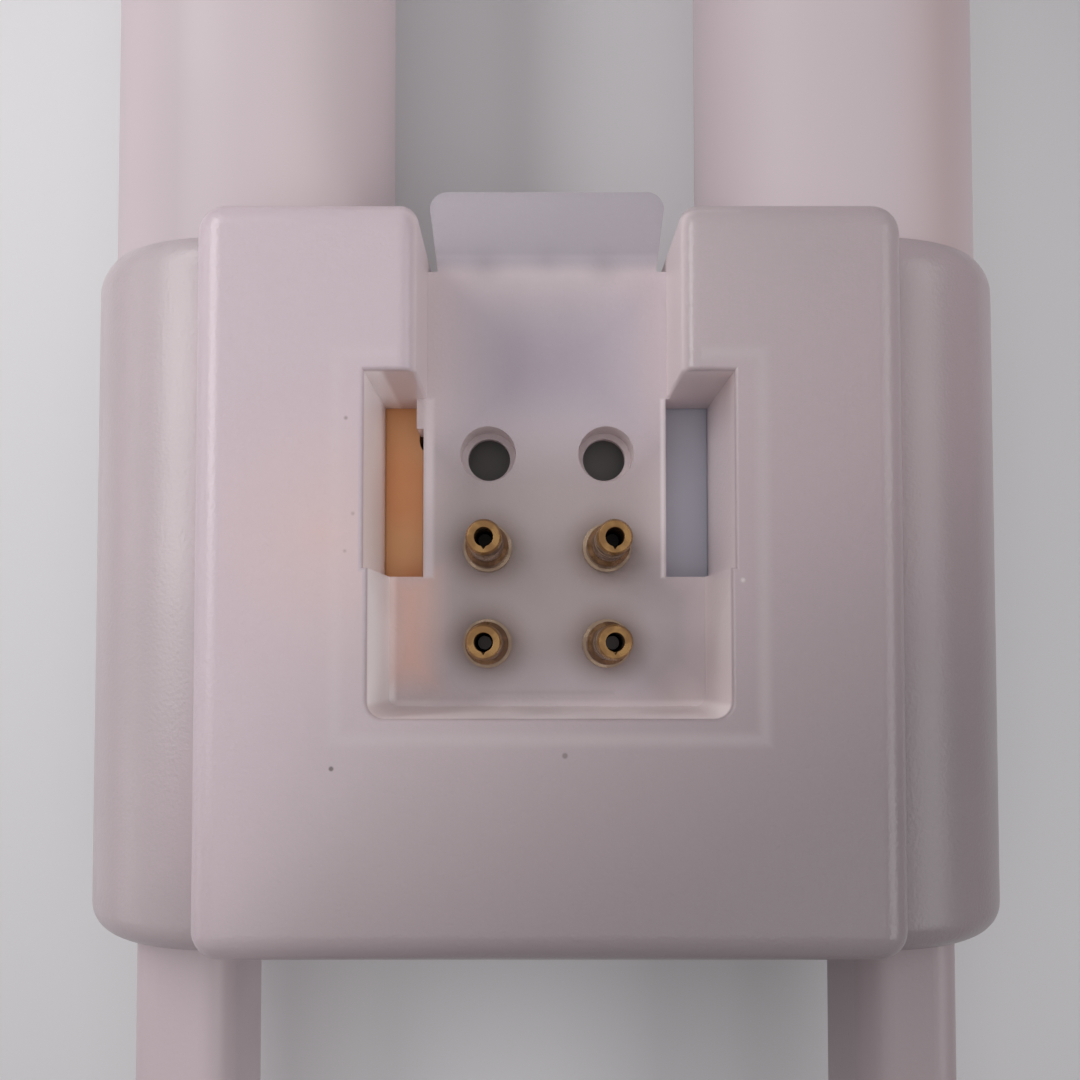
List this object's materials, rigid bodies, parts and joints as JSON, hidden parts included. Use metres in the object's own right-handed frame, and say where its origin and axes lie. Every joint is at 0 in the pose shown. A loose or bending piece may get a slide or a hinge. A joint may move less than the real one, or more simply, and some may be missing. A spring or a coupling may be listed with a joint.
{
  "type": "double-D led lamp with four-pin cap",
  "caption": "Double-D lamp: opal tube loops on a translucent cap with a recessed four-pin plug, channel, tongue and side slots.",
  "frame": {"origin": "under the middle of the lamp, on the surface that its light side lies on", "axes": "+X to the right and +Y along the stems towards the tongue as the cap is seen from its pins, +Z the way the pins point"},
  "size_m": [0.2044, 0.2062, 0.0293],
  "materials": {
    "cap_plastic": "milky translucent moulding, satin with a fine pebbled gloss",
    "opal_tube": "opal diffusing tube, smooth satin",
    "strut_plastic": "milky translucent moulding, smooth",
    "pin_brass": "aged turned brass, tarnished brown at the collars",
    "light_board": "white solder mask",
    "emitter": "yellow phosphor on a white package",
    "driver_board": "green solder mask",
    "film_orange": "orange dipped coating",
    "box_grey": "grey-blue moulded case",
    "can_sleeve": "black shrink sleeve",
    "ferrite": "dark sintered ferrite",
    "winding": "enamelled copper wire",
    "chip_black": "black moulded package",
    "resistor_body": "grey-green lacquer",
    "lead_metal": "tinned wire",
    "feed_wire": "white wire covering"
  },
  "bodies": {
    "root": {"box_capacitor": "box_grey", "bridge_rectifier": "chip_black", "cap_front": "cap_plastic", "cap_rear": "cap_plastic", "contact_pin_1": "pin_brass", "contact_pin_2": "pin_brass", "contact_pin_3": "pin_brass", "contact_pin_4": "pin_brass", "driver_board": "driver_board", "driver_chip": "chip_black", "film_capacitor": "film_orange", "fuse_resistor": "resistor_body", "left_boot": "strut_plastic", "left_emitters": "emitter", "left_feed_leads": "feed_wire", "left_light_board": "light_board", "left_strut": "strut_plastic", "left_tube_front": "opal_tube", "left_tube_rear": "opal_tube", "pin_lead_1": "lead_metal", "pin_lead_2": "lead_metal", "pin_lead_3": "lead_metal", "pin_lead_4": "lead_metal", "right_boot": "strut_plastic", "right_emitters": "emitter", "right_feed_leads": "feed_wire", "right_light_board": "light_board", "right_strut": "strut_plastic", "right_tube_front": "opal_tube", "right_tube_rear": "opal_tube", "storage_capacitor_left": "can_sleeve", "storage_capacitor_right": "can_sleeve", "surge_resistor": "resistor_body", "transformer_core": "ferrite", "transformer_winding": "winding"}
  },
  "joints": []
}
